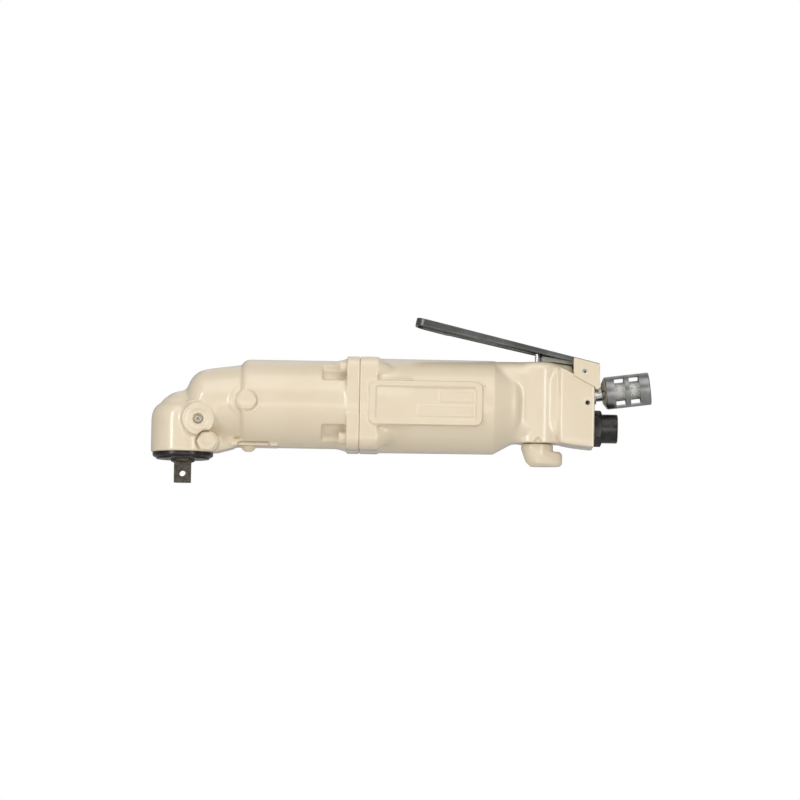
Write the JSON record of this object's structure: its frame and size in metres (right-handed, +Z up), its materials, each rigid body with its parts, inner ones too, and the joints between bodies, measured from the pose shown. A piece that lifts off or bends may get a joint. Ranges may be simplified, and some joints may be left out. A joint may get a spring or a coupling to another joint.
{
  "type": "angle pulse wrench",
  "caption": "Pneumatic angle wrench with an oil pulse unit, bevel gear head, square drive, throttle lever, reversing knob, silencer and air inlet.",
  "frame": {"origin": "centre of the square drive's end face", "axes": "+Z up the drive axis into the head, +X back along the barrel to the air inlet, +Y to the user's left looking along +X"},
  "size_m": [0.2848, 0.0545, 0.0961],
  "materials": {
    "case_paint": "glossy cream enamel on cast aluminium",
    "black_oxide": "blackened steel",
    "drive_steel": "phosphated steel",
    "gear_steel": "ground steel",
    "bearing_steel": "polished bearing steel",
    "motor_steel": "machined steel",
    "vane_laminate": "pressed fibre laminate",
    "seal_rubber": "matt black",
    "brass": "turned brass",
    "lever_plate": "dark plated sheet steel",
    "stop_grey": "satin grey green",
    "bright_pin": "polished",
    "nipple_steel": "plated steel",
    "silencer_metal": "satin turned aluminium",
    "sintered": "sintered grains"
  },
  "bodies": {
    "housing": {"front_case": "case_paint", "head_ring_nut": "black_oxide", "spindle_seal": "seal_rubber", "spindle_bearing": "bearing_steel", "spindle_top_bush": "brass", "pinion_needle_bearing": "bearing_steel", "pinion_ball_bearing": "bearing_steel", "pinion_bearing_circlip": "black_oxide", "grease_nipple": "nipple_steel", "gear_case_plug": "case_paint", "adjusting_port_plug": "case_paint", "cover_plate": "case_paint", "cover_screw": "case_paint", "flange_screws": "case_paint", "motor_housing": "case_paint", "cylinder_liner": "motor_steel", "front_end_plate": "motor_steel", "rear_end_plate": "motor_steel", "front_rotor_bearing": "bearing_steel", "rear_rotor_bearing": "bearing_steel", "motor_wave_washer": "motor_steel", "lever_bracket": "case_paint", "bracket_screws": "black_oxide", "lever_pin": "black_oxide", "lever_stop": "stop_grey", "stop_screw": "black_oxide", "pin_guide_bush": "brass", "throttle_seat_bush": "brass", "spring_plate": "motor_steel", "throttle_spring": "motor_steel", "valve_circlip": "black_oxide", "silencer_cross_pin": "black_oxide", "inlet_bushing": "black_oxide", "inlet_strainer": "motor_steel"},
    "drive": {"drive_spindle": "drive_steel", "bevel_gear": "gear_steel", "gear_nut": "gear_steel"},
    "output_shaft": {"bevel_pinion": "gear_steel", "pinion_spacer": "gear_steel", "main_shaft": "gear_steel", "pulse_blades": "gear_steel"},
    "rotor": {"pulse_drum": "gear_steel", "drum_front_lid": "gear_steel", "drum_rear_lid": "gear_steel", "relief_screw": "gear_steel", "rotor": "motor_steel", "rotor_vanes": "vane_laminate"},
    "lever": {"throttle_lever": "lever_plate"},
    "throttle_stem": {"throttle_push_pin": "bright_pin", "throttle_valve": "brass"},
    "reverse": {"reverse_valve": "brass", "reverse_knob": "case_paint", "knob_screw": "black_oxide"},
    "silencer": {"silencer_neck": "silencer_metal", "silencer_sleeve": "silencer_metal", "silencer_element": "sintered", "silencer_end_cap": "silencer_metal"}
  },
  "joints": [
    {"name": "shaft_spin", "type": "hinge", "parent": "housing", "child": "output_shaft", "pos_m": [0, 0, 0.0456], "axis": [1, 0, 0], "continuous": true},
    {"name": "drive_spin", "type": "hinge", "parent": "housing", "child": "drive", "pos_m": [0, 0, 0], "axis": [0, 0, 1], "continuous": true},
    {"name": "rotor_spin", "type": "hinge", "parent": "housing", "child": "rotor", "pos_m": [0, 0, 0.0456], "axis": [1, 0, 0], "continuous": true},
    {"name": "lever_pivot", "type": "hinge", "parent": "housing", "child": "lever", "pos_m": [0.2277, 0, 0.0659], "axis": [0, -1, 0], "range_deg": [0, 4.5], "stiffness_Nm_per_rad": 1, "springref_deg": -8.59},
    {"name": "stem_slide", "type": "slide", "parent": "housing", "child": "throttle_stem", "axis": [0, 0, -1], "range_m": [0, 0.00214], "deforming": ["throttle_spring"]},
    {"name": "reverse_turn", "type": "hinge", "parent": "housing", "child": "reverse", "pos_m": [0.2016, 0, 0], "axis": [0, 0, 1], "range_deg": [-37, 37]},
    {"name": "silencer_swivel", "type": "hinge", "parent": "housing", "child": "silencer", "pos_m": [0.2347, 0, 0.0542], "axis": [0.9914, 0, 0.1305], "continuous": true}
  ],
  "couplings": [
    {"joint": "drive_spin", "follows": "shaft_spin", "ratio": 0.77778},
    {"joint": "stem_slide", "follows": "lever_pivot", "m_per_rad": 0.027009}
  ]
}
